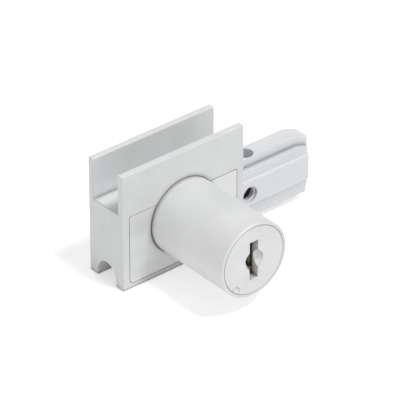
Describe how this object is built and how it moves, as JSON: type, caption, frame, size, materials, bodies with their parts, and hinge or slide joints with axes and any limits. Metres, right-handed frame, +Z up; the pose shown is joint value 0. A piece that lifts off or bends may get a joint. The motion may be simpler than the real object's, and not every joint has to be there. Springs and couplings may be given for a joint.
{
  "type": "sliding door lock",
  "caption": "Sliding door lock: a saddle that holds the edge of a glass door, a push-in key cylinder with a rear bolt, and a tongue for the bottom rail.",
  "frame": {"origin": "middle of the floor of the glass slot, where the edge of the door glass stands", "axes": "+X along the door towards the tongue, -Y towards the key side, +Z up into the glass"},
  "size_m": [0.0559, 0.0431, 0.0291],
  "materials": {
    "saddle_metal": "satin light grey on cast zinc",
    "cover_metal": "fine satin",
    "cylinder_metal": "satin nickel on turned brass",
    "face_metal": "satin nickel on turned brass",
    "tongue_metal": "matt drawn bar",
    "bolt_steel": "ground and plated",
    "pin_steel": "ground",
    "screw_steel": "zinc plated",
    "spring_steel": "drawn wire",
    "bush_brass": "turned",
    "wafer_brass": "stamped"
  },
  "bodies": {
    "lock_body": {"saddle": "saddle_metal", "cover_plate": "cover_metal", "cylinder_housing": "cylinder_metal", "bolt_bush": "bush_brass", "guide_screw": "screw_steel", "tongue": "tongue_metal", "tongue_screw": "screw_steel", "clamp_screw": "screw_steel"},
    "barrel": {"barrel": "cylinder_metal", "core_pin": "pin_steel", "bolt_pin": "bolt_steel", "spring_washer": "pin_steel", "return_spring": "spring_steel"},
    "core": {"core": "face_metal", "index_pin": "pin_steel", "wafer_1": "wafer_brass", "wafer_2": "wafer_brass", "wafer_3": "wafer_brass", "wafer_4": "wafer_brass", "wafer_5": "wafer_brass", "wafer_springs": "spring_steel"},
    "stud": {"locking_stud": "pin_steel", "stud_spring": "spring_steel"}
  },
  "joints": [
    {"name": "barrel_slide", "type": "slide", "parent": "lock_body", "child": "barrel", "axis": [0, -1, 0], "range_m": [0, 0.0085], "deforming": ["return_spring"]},
    {"name": "core_turn", "type": "hinge", "parent": "barrel", "child": "core", "pos_m": [0, -0.02913, -0.00585], "axis": [0, 1, 0], "range_deg": [0, 90]},
    {"name": "stud_lift", "type": "slide", "parent": "barrel", "child": "stud", "axis": [0, 0, -1], "range_m": [0, 0.0012], "deforming": ["stud_spring"]}
  ],
  "couplings": [
    {"joint": "stud_lift", "follows": "core_turn", "m_per_rad": 0.0007639}
  ]
}
